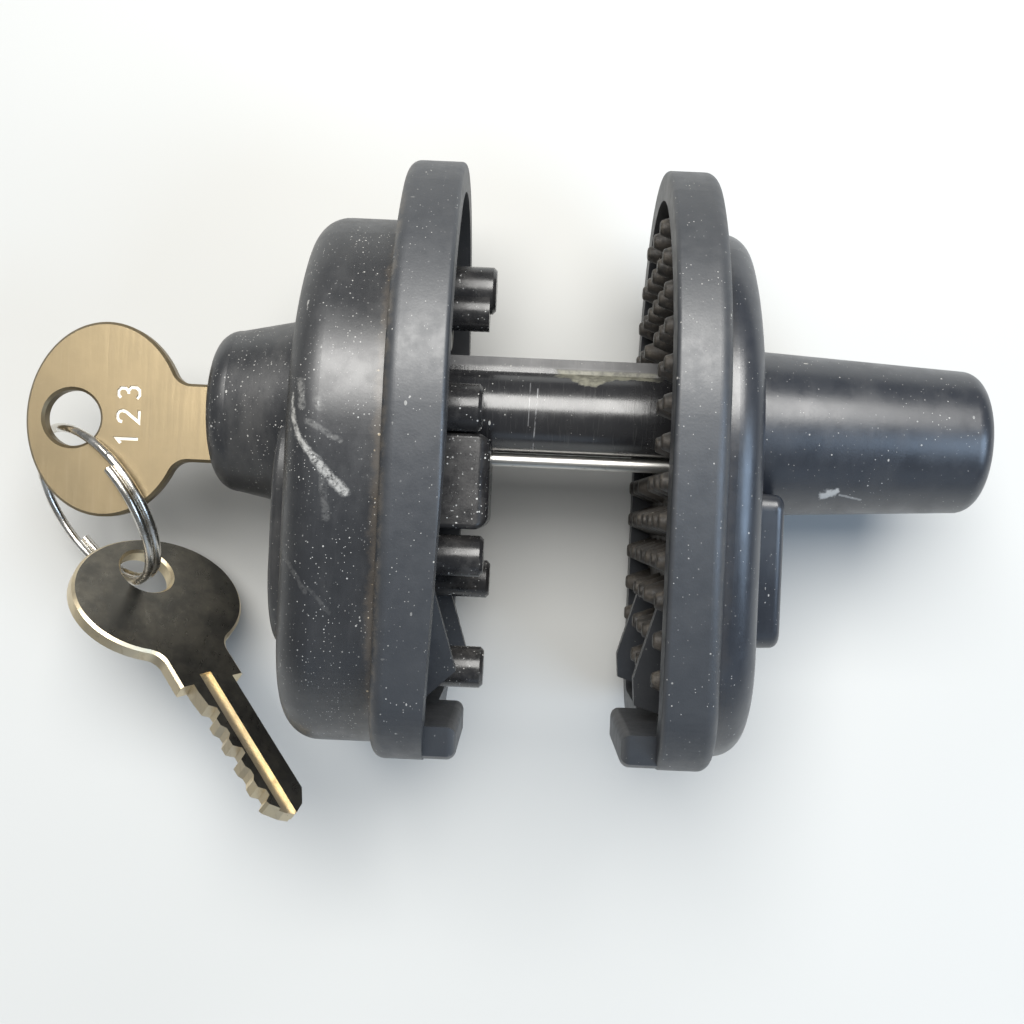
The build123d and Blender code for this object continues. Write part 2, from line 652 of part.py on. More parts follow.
# ratchet rack: toothed strip in the side of the bore
with BuildPart() as ratchet_rack:
    with BuildSketch(Plane.XZ.offset(-2.1)):
        with BuildLine():
            pts = [(RACK_X0, RACK_BASE), (RACK_X0, RACK_ROOT)]
            x = 37.0
            pts += [(36.2, RACK_ROOT), (36.8, RACK_CREST), (37.0, RACK_CREST)]
            while x + RACK_PITCH <= RACK_X1 + 0.01:
                pts += [(x, RACK_ROOT), (x + 1.4, RACK_ROOT), (x + 2.2, RACK_CREST),
                        (x + RACK_PITCH, RACK_CREST)]
                x += RACK_PITCH
            pts += [(x, RACK_ROOT), (RACK_X1, RACK_ROOT), (RACK_X1, RACK_BASE)]
            Polyline(*pts, close=True)
        make_face()
    extrude(amount=4.2)
save(ratchet_rack, "ratchet_rack")

# =====================================================================
# socket face plate
# =====================================================================
with BuildPart() as socket_face_plate:
    with BuildSketch(Plane.YZ.offset(MAT_BACK)):
        outline(PAD, RIM - PLATE_IN)
        with Locations((POST_Y, 0)):
            Circle(BORE_R + 0.1, mode=Mode.SUBTRACT)
        with Locations((ROD_Y, 0)):
            Circle(ROD_R + 0.3, mode=Mode.SUBTRACT)
        with Locations(((RIB_TOP + 0.3 + 3.0) / 2, 0)):
            Rectangle(RIB_TOP + 0.3 - 3.0, 2 * RIB_HALF + 0.6, mode=Mode.SUBTRACT)
        with Locations(*SCREW_AT):
            Circle(1.4, mode=Mode.SUBTRACT)
    extrude(amount=SPAD_BACK - MAT_BACK)
    with BuildSketch(Plane.YZ.offset(MAT_BACK)):
        with Locations(*SCREW_AT):
            Circle(2.6)
    extrude(amount=1.1, mode=Mode.SUBTRACT)
save(socket_face_plate, "socket_face_plate")

with BuildPart() as socket_plate_screws:
    with BuildSketch(Plane.YZ.offset(MAT_BACK + 1.1)):
        with Locations(*SCREW_AT):
            Circle(1.22)
    extrude(amount=3.6)
    with BuildSketch(Plane.YZ.offset(MAT_BACK + 0.02)):
        with Locations(*SCREW_AT):
            Circle(2.5)
    extrude(amount=1.08)
    with BuildSketch(Plane.YZ.offset(MAT_BACK)):
        with Locations(*SCREW_AT):
            Rectangle(2.6, 0.6)
            Rectangle(0.6, 2.6)
    extrude(amount=0.6, mode=Mode.SUBTRACT)
save(socket_plate_screws, "socket_plate_screws")

# =====================================================================
# socket pad: rubber rim, block and webs, mirrored to the keyed pad
# =====================================================================
with BuildPart() as socket_pad:
    with BuildSketch(Plane.YZ.offset(GAP)):
        outline(PAD)
    extrude(amount=SPAD_BACK - GAP)
    fillet(socket_pad.faces().sort_by(Axis.X)[-1].edges(), 1.3)
    fillet(socket_pad.faces().sort_by(Axis.X)[0].edges(), 0.5)
    with BuildSketch(Plane.YZ.offset(GAP)):
        outline(PAD, RIM)
    extrude(amount=SPAD_BACK - GAP, mode=Mode.SUBTRACT)
    with BuildSketch(Plane.YZ.offset(MAT_BACK)):
        outline(PAD, RIM - PLATE_IN)
    extrude(amount=SPAD_BACK - MAT_BACK, mode=Mode.SUBTRACT)
    with BuildSketch(Plane.YZ.offset(MAT_FRONT)):
        outline(PAD, 0.12)
        with Locations((-33.4, 9.2)):
            Rectangle(7.2, 15.6, mode=Mode.INTERSECT)
    extrude(amount=17.5 - MAT_FRONT)
    fillet(socket_pad.faces().sort_by(Axis.X)[0].edges(), 0.9)
    for z in (9.3, -10.8):
        with BuildSketch(Plane.XY.offset(z)):
            Polygon((MAT_FRONT, -16.6), (MAT_FRONT, -31.2), (21.8, -31.2), (21.8, -28.8),
                    (19.1, -28.0), (18.9, -25.4), (21.2, -17.6), align=None)
        extrude(amount=1.5)
save(socket_pad, "socket_pad")

# =====================================================================
# stud mat: rubber sheet with rows of blunt cones facing the keyed half
# =====================================================================
ROWS, ROW_PITCH, ROW_TOP = 13, 3.75, 20.2
studs = []
for row in range(ROWS):
    y = ROW_TOP - ROW_PITCH * row
    edge = half_width(PAD, RIM + 2.05, y)
    across = max(2, round(2 * edge / 4.9) + 1)
    for i in range(across):
        z = -edge + 2 * edge * i / (across - 1)
        if math.hypot(y - POST_Y, z) < 7.4 or math.hypot(y - ROD_Y, z) < 3.4:
            continue
        if abs(z) < 4.2 and 0 < y < 9.6:
            continue
        if y < -14.5 and 7.2 < abs(z) < 13.0:
            continue
        studs.append((y, z))
with BuildPart() as stud_mat:
    with BuildSketch(Plane.YZ.offset(MAT_FRONT)):
        outline(PAD, RIM)
        with Locations((POST_Y, 0)):
            Circle(BORE_R + 0.3, mode=Mode.SUBTRACT)
        with Locations((ROD_Y, 0)):
            Circle(ROD_R + 0.5, mode=Mode.SUBTRACT)
        with Locations(((RIB_TOP + 0.5 + 3.0) / 2, 0)):
            Rectangle(RIB_TOP + 0.5 - 3.0, 2 * RIB_HALF + 1.0, mode=Mode.SUBTRACT)
    extrude(amount=MAT_BACK - MAT_FRONT)
    for (sy, sz) in studs:
        with BuildSketch(Plane.YZ.offset(MAT_FRONT + 0.1)) as foot:
            with Locations((sy, sz)):
                Circle(1.8)
        extrude(amount=-(MAT_FRONT + 0.1 - STUD_TIP), taper=21)
    fillet(stud_mat.edges().group_by(Axis.X)[0], 0.3)
save(stud_mat, "stud_mat")
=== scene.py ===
import bpy
import math
import random
from mathutils import Matrix, Vector


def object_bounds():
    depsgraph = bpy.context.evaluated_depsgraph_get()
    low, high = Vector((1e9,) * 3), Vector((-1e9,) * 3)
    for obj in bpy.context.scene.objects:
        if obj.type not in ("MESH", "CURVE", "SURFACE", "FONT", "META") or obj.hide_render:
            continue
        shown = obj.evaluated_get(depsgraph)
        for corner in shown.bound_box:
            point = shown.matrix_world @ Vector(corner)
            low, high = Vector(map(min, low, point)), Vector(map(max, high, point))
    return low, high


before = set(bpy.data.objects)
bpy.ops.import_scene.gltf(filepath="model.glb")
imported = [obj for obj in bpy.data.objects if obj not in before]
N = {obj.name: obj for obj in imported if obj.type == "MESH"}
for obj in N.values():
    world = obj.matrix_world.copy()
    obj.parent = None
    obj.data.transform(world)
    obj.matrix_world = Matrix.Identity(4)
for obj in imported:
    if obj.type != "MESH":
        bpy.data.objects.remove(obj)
CAD_LO, CAD_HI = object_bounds()
scene = bpy.context.scene
MM = 0.001
rng = random.Random(7)


# ------------------------------------------------------------------ node tools
class Shade:
    """A small builder for procedural materials in object coordinates (metres)."""

    def __init__(self, name):
        self.mat = bpy.data.materials.new(name)
        self.mat.use_nodes = True
        self.nt = self.mat.node_tree
        self.nt.nodes.clear()
        self.out = self.nt.nodes.new("ShaderNodeOutputMaterial")
        self.bsdf = self.nt.nodes.new("ShaderNodeBsdfPrincipled")
        self.nt.links.new(self.bsdf.outputs["BSDF"], self.out.inputs["Surface"])
        tc = self.nt.nodes.new("ShaderNodeTexCoord")
        self.co = tc.outputs["Object"]
        sep = self.nt.nodes.new("ShaderNodeSeparateXYZ")
        self.nt.links.new(self.co, sep.inputs[0])
        self.x, self.y, self.z = sep.outputs
        nrm = self.nt.nodes.new("ShaderNodeSeparateXYZ")
        self.nt.links.new(tc.outputs["Normal"], nrm.inputs[0])
        self.nx, self.ny, self.nz = nrm.outputs

    def put(self, socket, value):
        if isinstance(value, bpy.types.NodeSocket):
            self.nt.links.new(value, socket)
        else:
            socket.default_value = value

    def math(self, op, a, b=0.0, c=None, clamp=False):
        n = self.nt.nodes.new("ShaderNodeMath")
        n.operation = op
        n.use_clamp = clamp
        self.put(n.inputs[0], a)
        self.put(n.inputs[1], b)
        if c is not None:
            self.put(n.inputs[2], c)
        return n.outputs[0]

    def add(self, a, b): return self.math("ADD", a, b)
    def sub(self, a, b): return self.math("SUBTRACT", a, b)
    def mul(self, a, b): return self.math("MULTIPLY", a, b)
    def sat(self, a): return self.math("ADD", a, 0.0, clamp=True)

    def range(self, v, lo, hi, out_lo=0.0, out_hi=1.0, smooth=True):
        n = self.nt.nodes.new("ShaderNodeMapRange")
        n.interpolation_type = "SMOOTHSTEP" if smooth else "LINEAR"
        self.put(n.inputs["Value"], v)
        n.inputs["From Min"].default_value = lo
        n.inputs["From Max"].default_value = hi
        n.inputs["To Min"].default_value = out_lo
        n.inputs["To Max"].default_value = out_hi
        return n.outputs["Result"]

    def warp(self, scale=(1, 1, 1), rot=(0, 0, 0), loc=(0, 0, 0), vec=None):
        n = self.nt.nodes.new("ShaderNodeMapping")
        self.put(n.inputs["Vector"], vec or self.co)
        n.inputs["Scale"].default_value = scale
        n.inputs["Rotation"].default_value = rot
        n.inputs["Location"].default_value = loc
        return n.outputs[0]

    def noise(self, scale, detail=3.0, rough=0.5, distort=0.0, vec=None):
        n = self.nt.nodes.new("ShaderNodeTexNoise")
        self.put(n.inputs["Vector"], vec or self.co)
        n.inputs["Scale"].default_value = scale
        n.inputs["Detail"].default_value = detail
        n.inputs["Roughness"].default_value = rough
        n.inputs["Distortion"].default_value = distort
        return n.outputs["Fac"]

    def cells(self, scale, vec=None, feature="F1", rand=1.0):
        n = self.nt.nodes.new("ShaderNodeTexVoronoi")
        n.feature = feature
        self.put(n.inputs["Vector"], vec or self.co)
        n.inputs["Scale"].default_value = scale
        n.inputs["Randomness"].default_value = rand
        return n.outputs["Distance"], (n.outputs["Color"] if "Color" in n.outputs else None)

    def mix(self, a, b, fac):
        n = self.nt.nodes.new("ShaderNodeMix")
        n.data_type = "RGBA"
        n.clamp_factor = True
        self.put(n.inputs[0], fac)
        self.put(n.inputs[6], (*a, 1) if isinstance(a, tuple) else a)
        self.put(n.inputs[7], (*b, 1) if isinstance(b, tuple) else b)
        return n.outputs[2]

    def specks(self, scale, share, size, vec=None, stretch=None):
        """0..1 mask of small sparse specks: cells at scale, a share of them filled."""
        v = vec or (self.warp(stretch) if stretch else self.co)
        d, col = self.cells(scale, v)
        sep = self.nt.nodes.new("ShaderNodeSeparateColor")
        self.nt.links.new(col, sep.inputs[0])
        chosen = self.math("LESS_THAN", sep.outputs[0], share)
        radius = self.math("MULTIPLY_ADD", sep.outputs[1], size * 0.7, size * 0.3)
        return self.mul(chosen, self.math("LESS_THAN", d, radius))

    def line(self, ax, ay, bx, by, width, ragged=0.0, scale=1500):
        """0..1 mask of a stroke in the XY plane, from a to b, in metres."""
        ux, uy = bx - ax, by - ay
        l2 = ux * ux + uy * uy
        px, py = self.sub(self.x, ax), self.sub(self.y, ay)
        t = self.math("MULTIPLY", self.add(self.mul(px, ux), self.mul(py, uy)), 1 / l2, clamp=True)
        dx = self.sub(px, self.mul(t, ux))
        dy = self.sub(py, self.mul(t, uy))
        d = self.math("SQRT", self.add(self.mul(dx, dx), self.mul(dy, dy)))
        if ragged:
            d = self.add(d, self.mul(self.sub(self.noise(scale, 4, 0.6), 0.5), ragged))
        return self.range(d, width, width * 0.35)

    def crown(self, y0, radius):
        """A normal as if the flat flanks were bowed to a large radius along Y."""
        d = self.math("MINIMUM", self.sub(self.y, y0), 0.0)
        tilt = self.mul(self.mul(d, 1.0 / radius), self.mul(self.nz, self.nz))
        n = self.nt.nodes.new("ShaderNodeCombineXYZ")
        for socket, value in zip(n.inputs, (self.nx, self.add(self.ny, tilt), self.nz)):
            self.put(socket, value)
        t = self.nt.nodes.new("ShaderNodeVectorTransform")
        t.vector_type, t.convert_from, t.convert_to = "NORMAL", "OBJECT", "WORLD"
        self.nt.links.new(n.outputs[0], t.inputs[0])
        return t.outputs[0]

    def bump(self, height, strength=0.3, distance=0.0001, normal=None):
        n = self.nt.nodes.new("ShaderNodeBump")
        n.inputs["Strength"].default_value = strength
        n.inputs["Distance"].default_value = distance
        self.put(n.inputs["Height"], height)
        if normal is not None:
            self.put(n.inputs["Normal"], normal)
        return n.outputs[0]

    def done(self, color=None, rough=None, metal=None, normal=None, **const):
        b = self.bsdf.inputs
        if color is not None:
            self.put(b["Base Color"], (*color, 1) if isinstance(color, tuple) else color)
        if rough is not None:
            self.put(b["Roughness"], rough)
        if metal is not None:
            self.put(b["Metallic"], metal)
        if normal is not None:
            self.put(b["Normal"], normal)
        for k, v in const.items():
            b[k.replace("_", " ")].default_value = v
        return self.mat


def wear(*nodes, mat):
    for n in nodes:
        me = N[n].data
        me.materials.clear()
        me.materials.append(mat)


# ------------------------------------------------------------------ materials
def dusting(s, col, amount=1.0, tone=(0.60, 0.59, 0.56)):
    """Fine pale dust, thicker on the faces that look up. Returns colour and mask."""
    a = s.specks(2100, 0.50 * amount, 0.19)
    b = s.specks(3400, 0.60 * amount, 0.20)
    c = s.specks(820, 0.35 * amount, 0.115, stretch=(1.0, 0.6, 1.0))
    d = s.specks(560, 0.30 * amount, 0.075, stretch=(0.35, 1.0, 1.0))
    mask = s.math("MAXIMUM", s.math("MAXIMUM", a, b), s.math("MAXIMUM", c, d))
    patchy = s.range(s.noise(230, 3, 0.6), 0.38, 0.62, 0.18, 1.0)
    mask = s.mul(mask, s.mul(patchy, s.range(s.nz, -0.3, 0.5, 0.2, 1.0)))
    return s.mix(col, tone, s.mul(mask, 0.62)), mask


def casing_material(name, keyed):
    s = Shade(name)
    big = s.noise(60, 4, 0.55)
    mid = s.noise(420, 5, 0.6)
    fine = s.noise(2600, 3, 0.6)
    if keyed:
        col = s.mix((0.012, 0.013, 0.0155), (0.023, 0.0235, 0.0250), big)
    else:
        col = s.mix((0.011, 0.0135, 0.0190), (0.020, 0.0230, 0.0300), big)
    # brown dust that settles by the seam with the pad
    seam_x = -5.9 * MM if keyed else 25.95 * MM
    away = s.math("ABSOLUTE", s.sub(s.x, seam_x))
    ragged = s.add(away, s.mul(s.sub(s.noise(520, 5, 0.7), 0.5), 2.4 * MM))
    dirt = s.range(ragged, 1.0 * MM, 0.1 * MM)
    col = s.mix(col, (0.105, 0.086, 0.066), s.mul(dirt, 0.46 if keyed else 0.10))
    if keyed:
        # grains caught in the seam
        grains = s.specks(1700, 0.75, 0.22)
        near = s.range(away, 0.85 * MM, 0.25 * MM)
        grains = s.mul(grains, s.mul(near, s.range(s.noise(400, 3, 0.6), 0.40, 0.55)))
        col = s.mix(col, (0.46, 0.38, 0.26), s.mul(grains, 0.85))
    # thin grey film in patches, drawn out along the lock's long way
    film = s.range(s.noise(170, 6, 0.68, vec=s.warp((1.6, 0.55, 1.0))), 0.42, 0.74)
    on_boss = s.range(s.x, -15.0 * MM, -16.5 * MM) if keyed else s.range(s.x, 70 * MM, 71 * MM)
    film_amount = s.add(s.mul(film, 0.10), s.mul(on_boss, s.mul(film, 0.22)))
    col = s.mix(col, (0.105, 0.102, 0.098), film_amount)
    streak = s.range(s.noise(900, 5, 0.6, vec=s.warp((1.0, 0.12, 0.6))), 0.58, 0.76)
    col = s.mix(col, (0.14, 0.14, 0.14), s.mul(streak, 0.08))
    if keyed:
        main = [(-14.35, 0.6), (-14.3, -0.88), (-13.61, -3.3), (-11.9, -5.4), (-10.08, -7.31), (-8.94, -8.36)]
        wide = [0.22, 0.30, 0.42, 0.58, 0.62]
        scuffs = None
        for (a, b, w) in zip(main, main[1:], wide):
            m = s.line(a[0] * MM, a[1] * MM, b[0] * MM, b[1] * MM, w * MM, 0.55 * MM, 1500)
            scuffs = m if scuffs is None else s.math("MAXIMUM", scuffs, m)
        for (a, b, w, k) in (((-13.6, 1.67), (-13.3, -0.6), 0.50, 0.36), ((-12.78, -1.95), (-9.6, -3.64), 0.40, 0.24),
                             ((-13.78, 9.6), (-13.8, 8.7), 0.10, 0.9), ((-11.9, -0.1), (-11.6, -0.6), 0.55, 0.3),
                             ((-14.6, -14.2), (-12.2, -17.6), 0.30, 0.12), ((-12.0, -17.2), (-9.9, -19.4), 0.24, 0.10),
                             ((-11.2, -6.4), (-10.6, -10.8), 0.5, 0.16)):
            m = s.mul(s.line(a[0] * MM, a[1] * MM, b[0] * MM, b[1] * MM, w * MM, 0.5 * MM, 1700), k)
            scuffs = s.math("MAXIMUM", scuffs, m)
        gaps = s.range(s.noise(1900, 5, 0.75), 0.34, 0.60)
        scuffs = s.mul(scuffs, s.mul(gaps, s.range(s.nz, 0.1, 0.5)))
        col = s.mix(col, (0.40, 0.395, 0.375), s.mul(scuffs, 0.80))
    else:
        chips = s.math("MAXIMUM",
                       s.line(38.1 * MM, -6.45 * MM, 39.3 * MM, -6.05 * MM, 0.50 * MM, 0.9 * MM, 1700),
                       s.mul(s.line(39.8 * MM, -6.3 * MM, 42.2 * MM, -6.7 * MM, 0.13 * MM, 0.2 * MM, 2200), 0.5))
        scuffs = s.mul(chips, s.range(s.nz, 0.0, 0.4))
        col = s.mix(col, (0.50, 0.50, 0.49), s.mul(scuffs, 0.85))
    col, dust = dusting(s, col, 1.0 if keyed else 0.36)
    lo_r, hi_r = (0.35, 0.44) if keyed else (0.29, 0.37)
    rough = s.add(s.range(mid, 0.3, 0.7, lo_r, hi_r), s.mul(film, 0.10))
    rough = s.add(rough, s.mul(s.math("MAXIMUM", scuffs, dust), 0.3))
    h = s.add(s.mul(fine, 0.6), s.mul(mid, 1.2))
    nrm = s.bump(h, 0.12, 0.00008, s.crown(8.0 * MM, 58 * MM))
    return s.done(col, rough, 0.0, nrm, Specular_IOR_Level=0.95 if keyed else 1.0)


def rubber_material(name, keyed):
    s = Shade(name)
    big = s.noise(80, 4, 0.6)
    mid = s.noise(650, 5, 0.62)
    fine = s.noise(3800, 3, 0.6)
    col = s.mix((0.024, 0.0270, 0.0320), (0.037, 0.0395, 0.0440), big)
    inner = s.range(s.math("ABSOLUTE", s.sub(s.x, -5.9 * MM if keyed else 25.9 * MM)), 0.9 * MM, 0.0)
    dirt = s.mul(inner, s.range(s.noise(520, 5, 0.7), 0.40, 0.62))
    col = s.mix(col, (0.15, 0.125, 0.095), s.mul(dirt, 0.55 if keyed else 0.12))
    bloom = s.range(s.noise(260, 6, 0.7), 0.40, 0.78)
    col = s.mix(col, (0.10, 0.10, 0.10), s.mul(bloom, 0.13))
    col, dust = dusting(s, col, 0.45 if keyed else 0.32, (0.55, 0.54, 0.51))
    rough = s.add(s.range(mid, 0.3, 0.7, 0.44, 0.54), s.mul(dust, 0.3))
    h = s.add(s.mul(fine, 0.8), s.mul(mid, 1.0))
    nrm = s.bump(h, 0.18, 0.00008, s.crown(8.0 * MM, 58 * MM))
    return s.done(col, rough, 0.0, nrm, Specular_IOR_Level=1.0)


def stud_material():
    s = Shade("stud_rubber_dirty")
    mid = s.noise(700, 6, 0.65)
    fine = s.noise(3000, 3, 0.6)
    low = s.range(s.x, 19.0 * MM, 22.9 * MM)
    col = s.mix((0.022, 0.021, 0.020), (0.060, 0.052, 0.043), s.range(mid, 0.36, 0.64))
    col = s.mix(col, (0.165, 0.145, 0.118), s.mul(s.range(s.noise(1100, 5, 0.7), 0.50, 0.70), 0.55))
    col = s.mix(col, (0.045, 0.036, 0.028), s.mul(low, 0.5))
    fibre = s.specks(380, 0.16, 0.13, stretch=(1.0, 0.16, 1.0))
    fibre2 = s.specks(420, 0.12, 0.12, stretch=(0.2, 1.0, 0.35))
    col = s.mix(col, (0.42, 0.38, 0.32), s.mul(s.math("MAXIMUM", fibre, fibre2), 0.6))
    dust = s.specks(1500, 0.14, 0.13)
    col = s.mix(col, (0.6, 0.57, 0.52), s.mul(dust, 0.75))
    h = s.add(s.mul(fine, 0.9), s.mul(mid, 2.0))
    return s.done(col, s.range(mid, 0.3, 0.7, 0.42, 0.66), 0.0, s.bump(h, 0.45, 0.00012), Specular_IOR_Level=0.5)


def peg_material(name, dusty, spec=0.6):
    s = Shade(name)
    mid = s.noise(600, 4, 0.6)
    fine = s.noise(3500, 3, 0.6)
    col = s.mix((0.012, 0.012, 0.014), (0.028, 0.027, 0.026), mid)
    film = s.range(s.noise(420, 6, 0.7), 0.45, 0.70)
    col = s.mix(col, (0.11, 0.105, 0.10), s.mul(film, 0.35))
    a = s.specks(1700, 0.60 * dusty, 0.20)
    b = s.specks(2900, 0.60 * dusty, 0.22)
    c = s.specks(620, 0.30 * dusty, 0.10, stretch=(1.0, 0.32, 1.0))
    d = s.specks(620, 0.30 * dusty, 0.10, stretch=(0.32, 1.0, 1.0))
    dust = s.math("MAXIMUM", s.math("MAXIMUM", a, b), s.math("MAXIMUM", c, d))
    dust = s.mul(dust, s.range(s.noise(300, 3, 0.6), 0.36, 0.58, 0.3, 1.0))
    col = s.mix(col, (0.70, 0.69, 0.66), s.mul(dust, 0.8))
    rough = s.add(s.range(mid, 0.3, 0.7, 0.20, 0.34), s.mul(dust, 0.4))
    nrm = s.bump(s.add(s.mul(fine, 0.5), mid), 0.14, 0.00008)
    return s.done(col, rough, 0.0, nrm, Specular_IOR_Level=spec)


def post_material():
    s = Shade("post_black_worn")
    mid = s.noise(380, 5, 0.6)
    turned = s.noise(1, 4, 0.65, vec=s.warp((3600, 260, 260)))
    col = s.mix((0.012, 0.012, 0.014), (0.026, 0.026, 0.027), mid)
    # fine turning marks painted lighter all over the post: partly rubbed wear, partly a painted sheen where the light
    # catches them
    turning_marks_and_sheen = s.range(turned, 0.52, 0.72)
    col = s.mix(col, (0.11, 0.11, 0.105), s.mul(turning_marks_and_sheen, 0.20))
    # worn patch under the rib, ragged below
    edge = s.add(s.y, s.mul(s.sub(s.noise(420, 5, 0.65), 0.5), 2.0 * MM))
    tongue = s.range(s.math("ABSOLUTE", s.sub(s.x, 13.9 * MM)), 2.6 * MM, 0.2 * MM)
    limit = s.sub(4.75 * MM, s.mul(tongue, 0.95 * MM))
    patch = s.range(s.sub(edge, limit), -0.05 * MM, 0.15 * MM)
    patch = s.mul(patch, s.range(s.add(s.x, s.mul(s.sub(s.noise(900, 4, 0.6), 0.5), 3 * MM)), 9.8 * MM, 10.8 * MM))
    patch = s.mul(patch, s.range(s.add(s.x, s.mul(s.sub(s.noise(700, 4, 0.6), 0.5), 3 * MM)), 22.0 * MM, 20.0 * MM))
    patch = s.mul(patch, s.range(s.nz, -0.1, 0.2))
    patch = s.mul(patch, s.range(s.y, 5.95 * MM, 5.6 * MM))
    tone = s.mix((0.085, 0.082, 0.062), (0.20, 0.195, 0.150), s.range(s.noise(1300, 5, 0.7), 0.36, 0.62))
    col = s.mix(col, tone, s.mul(patch, 0.92))
    ring = s.line(8.35 * MM, 3.4 * MM, 8.1 * MM, -2.9 * MM, 0.09 * MM, 0.10 * MM, 1600)
    ring2 = s.mul(s.line(7.55 * MM, 4.0 * MM, 7.5 * MM, -0.5 * MM, 0.06 * MM, 0.08 * MM, 1900), 0.6)
    ring = s.mul(s.math("MAXIMUM", ring, ring2), s.range(s.noise(900, 3, 0.6), 0.38, 0.55))
    col = s.mix(col, (0.30, 0.30, 0.31), s.mul(ring, 0.7))
    near = s.range(s.x, 9.0 * MM, 2.5 * MM)
    dust = s.math("MAXIMUM", s.specks(1200, 0.30, 0.09), s.specks(2100, 0.30, 0.12))
    more = s.math("MAXIMUM", s.specks(700, 0.5, 0.10, stretch=(1.0, 0.3, 1.0)), s.specks(1500, 0.6, 0.14))
    dust = s.math("MAXIMUM", s.mul(dust, 0.6), s.mul(more, near))
    col = s.mix(col, (0.62, 0.61, 0.57), s.mul(dust, 0.7))
    rough = s.add(s.range(mid, 0.3, 0.7, 0.20, 0.29), s.mul(patch, 0.30))
    rough = s.add(rough, s.mul(s.range(s.y, 5.7 * MM, 6.1 * MM), 0.22))
    rough = s.add(rough, s.mul(dust, 0.3))
    h = s.add(s.mul(turned, 0.9), s.mul(patch, -1.6))
    return s.done(col, rough, 0.0, s.bump(h, 0.16, 0.00006), Specular_IOR_Level=0.78)


def steel_material(name, tone=(0.62, 0.61, 0.58), rough=0.30, along=(20, 900, 900)):
    s = Shade(name)
    brushed = s.noise(1, 5, 0.65, vec=s.warp(along))
    mid = s.noise(500, 4, 0.6)
    dark = tuple(c * 0.72 for c in tone)
    col = s.mix(dark, tone, s.range(brushed, 0.35, 0.65))
    stain = s.range(s.noise(900, 5, 0.7), 0.56, 0.72)
    col = s.mix(col, (0.26, 0.22, 0.17), s.mul(stain, 0.45))
    r = s.add(s.range(brushed, 0.3, 0.7, rough - 0.06, rough + 0.10), s.mul(stain, 0.12))
    nrm = s.bump(s.add(brushed, s.mul(mid, 0.5)), 0.14, 0.00006)
    return s.done(col, r, 1.0, nrm)


def key_material(name, spare):
    s = Shade(name)
    if spare:
        grain = s.noise(1, 5, 0.65, vec=s.warp((1500, 260, 700), rot=(0, 0, 0.86)))
        warm, cool = (0.74, 0.63, 0.43), (0.62, 0.54, 0.40)
    else:
        grain = s.noise(1, 5, 0.65, vec=s.warp((2600, 120, 600)))
        warm, cool = (0.228, 0.179, 0.106), (0.202, 0.160, 0.096)
    big = s.noise(130, 4, 0.6)
    col = s.mix(cool, warm, s.range(big, 0.34, 0.66))
    col = s.mix(col, (0.26, 0.208, 0.132) if not spare else (0.40, 0.32, 0.20), s.mul(s.range(grain, 0.50, 0.74), 0.40))
    tarn = s.range(s.noise(620, 6, 0.7), 0.58, 0.76)
    col = s.mix(col, (0.24, 0.19, 0.12), s.mul(tarn, 0.45))
    fleck = s.specks(1300, 0.35, 0.11)
    col = s.mix(col, (0.24, 0.19, 0.12), s.mul(fleck, 0.5))
    if not spare:
        # painted highlight: the floors of the stamped figures are painted bright
        stamp_floor_highlight = s.mul(s.range(s.z, 0.92 * MM, 0.86 * MM), s.range(s.z, 0.70 * MM, 0.76 * MM))
        stamp_floor_highlight = s.mul(stamp_floor_highlight, s.mul(s.range(s.nz, 0.8, 0.95), s.range(s.x, -27.5 * MM, -28.0 * MM)))
        col = s.mix(col, (0.62, 0.60, 0.54), s.mul(stamp_floor_highlight, 0.9))
    r = s.range(grain, 0.3, 0.7, 0.36, 0.48)
    if spare:
        # painted shade: the two faces are painted dark, standing for the dark reflection they show; the milled edges
        # stay bright
        up = s.add(s.add(s.mul(s.nx, 0.5193), s.mul(s.ny, 0.6972)), s.mul(s.nz, 0.4942))
        face_painted_dark = s.range(s.math("ABSOLUTE", up), 0.93, 0.985)
        # depth below the face, along the face normal: the milled groove is kept out of the painted dark and stays
        # bright
        deep = s.add(s.add(s.mul(s.sub(s.x, -34.114 * MM), 0.5193), s.mul(s.sub(s.y, -21.304 * MM), 0.6972)),
                     s.mul(s.sub(s.z, -8.506 * MM), 0.4942))
        face_painted_dark = s.mul(face_painted_dark, s.range(s.math("ABSOLUTE", deep), 0.70 * MM, 0.86 * MM))
        # colour of the painted dark reflection on the faces
        tone = s.mix((0.115, 0.110, 0.098), (0.185, 0.172, 0.145), s.range(s.noise(260, 5, 0.65), 0.36, 0.66))
        tone = s.mix(tone, (0.30, 0.275, 0.22), s.mul(s.range(grain, 0.60, 0.74), 0.30))
        col = s.mix(col, tone, face_painted_dark)
        r = s.sub(r, s.mul(face_painted_dark, 0.10))
    nrm = s.bump(s.add(grain, s.mul(s.noise(2400, 3, 0.6), 0.5)), 0.10, 0.00005)
    return s.done(col, r, 0.86 if not spare else 0.95, nrm)


def ring_material():
    s = Shade("ring_bright_nickel")
    mid = s.noise(600, 5, 0.65)
    col = s.mix((0.66, 0.62, 0.55), (0.80, 0.78, 0.74), s.range(mid, 0.35, 0.65))
    tarn = s.range(s.noise(1400, 5, 0.7), 0.56, 0.70)
    col = s.mix(col, (0.42, 0.34, 0.23), s.mul(tarn, 0.5))
    return s.done(col, s.range(mid, 0.3, 0.7, 0.20, 0.32), 1.0,
                  s.bump(s.noise(2200, 4, 0.6), 0.10, 0.00005))


def brass_material(name, tone=(0.62, 0.46, 0.22)):
    s = Shade(name)
    turned = s.noise(1, 4, 0.6, vec=s.warp((2200, 140, 140)))
    mid = s.noise(500, 5, 0.6)
    col = s.mix(tuple(c * 0.6 for c in tone), tone, s.range(mid, 0.3, 0.7))
    return s.done(col, s.range(turned, 0.3, 0.7, 0.28, 0.42), 1.0, s.bump(turned, 0.15, 0.00006))


